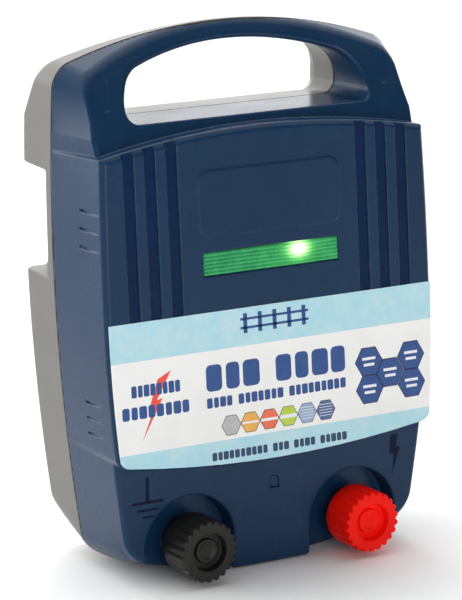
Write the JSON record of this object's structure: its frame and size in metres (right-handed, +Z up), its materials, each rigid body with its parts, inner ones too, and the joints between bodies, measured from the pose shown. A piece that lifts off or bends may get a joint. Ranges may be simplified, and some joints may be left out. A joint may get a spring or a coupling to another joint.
{
  "type": "fence energizer",
  "caption": "Portable electric-fence energiser: two-shell moulded case with a carrying handle, status window, printed front label and screw-down output terminals.",
  "frame": {"origin": "on the flat foot under the middle of the case, half a millimetre in front of the parting plane", "axes": "+Z up, the front with its terminals faces -Y, +X is to the right as seen from the front"},
  "size_m": [0.208, 0.1099, 0.286],
  "materials": {
    "navy_shell": "satin moulded polymer, fine moulded texture",
    "grey_shell": "satin moulded polymer",
    "seal_rubber": "soft",
    "label_film": "printed film",
    "green_lens": "clear tinted",
    "green_led": "clear tinted",
    "red_led": "clear tinted",
    "circuit_board": "solder mask",
    "brass": "machined",
    "zinc_steel": "zinc plated",
    "black_plastic": "moulded",
    "red_plastic": "moulded",
    "core_steel": "laminated, varnished",
    "coil_wire": "taped winding",
    "capacitor_sleeve": "shrink sleeve",
    "heat_sink_alloy": "extruded",
    "black_insulation": "smooth",
    "red_insulation": "smooth"
  },
  "bodies": {
    "case": {"board_screw_1": "zinc_steel", "board_screw_2": "zinc_steel", "board_screw_3": "zinc_steel", "board_screw_4": "zinc_steel", "board_standoff_1": "grey_shell", "board_standoff_2": "grey_shell", "board_standoff_3": "grey_shell", "board_standoff_4": "grey_shell", "capacitor_band_left": "black_plastic", "capacitor_band_right": "black_plastic", "case_gasket": "seal_rubber", "case_screw_lower_left": "zinc_steel", "case_screw_lower_right": "zinc_steel", "case_screw_middle_left": "zinc_steel", "case_screw_middle_right": "zinc_steel", "case_screw_upper_left": "zinc_steel", "case_screw_upper_right": "zinc_steel", "earth_lead": "black_insulation", "earth_stud": "brass", "earth_stud_nut": "brass", "fence_lead": "red_insulation", "fence_stud": "brass", "fence_stud_nut": "brass", "front_label": "label_film", "front_shell": "navy_shell", "heat_sink": "heat_sink_alloy", "indicator_board": "circuit_board", "inlet_lead": "black_insulation", "inlet_nut": "zinc_steel", "inlet_socket": "black_plastic", "low_battery_led": "red_led", "main_board": "circuit_board", "pulse_led": "green_led", "rear_shell": "grey_shell", "status_lens": "green_lens", "storage_capacitor_left": "capacitor_sleeve", "storage_capacitor_right": "capacitor_sleeve", "transformer_coil": "coil_wire", "transformer_core": "core_steel"},
    "earth_clamp": {"earth_clamp_washer": "zinc_steel"},
    "earth_thumb_nut": {"earth_knob": "black_plastic", "earth_knob_insert": "brass"},
    "fence_clamp": {"fence_clamp_washer": "zinc_steel"},
    "fence_thumb_nut": {"fence_knob": "red_plastic", "fence_knob_insert": "brass"}
  },
  "joints": [
    {"name": "earth_clamp_slide", "type": "slide", "parent": "case", "child": "earth_clamp", "axis": [0, -1, 0], "range_m": [-0.00187, 0.005]},
    {"name": "earth_knob_turn", "type": "hinge", "parent": "earth_clamp", "child": "earth_thumb_nut", "pos_m": [-0.0507, -0.0475, 0.0193], "axis": [0, -1, 0], "range_deg": [-540, 1440]},
    {"name": "fence_clamp_slide", "type": "slide", "parent": "case", "child": "fence_clamp", "axis": [0, -1, 0], "range_m": [-0.00187, 0.005]},
    {"name": "fence_knob_turn", "type": "hinge", "parent": "fence_clamp", "child": "fence_thumb_nut", "pos_m": [0.0507, -0.0475, 0.0193], "axis": [0, -1, 0], "range_deg": [-540, 1440]}
  ],
  "couplings": [
    {"joint": "earth_clamp_slide", "follows": "earth_knob_turn", "m_per_rad": 0.00019894},
    {"joint": "fence_clamp_slide", "follows": "fence_knob_turn", "m_per_rad": 0.00019894}
  ]
}
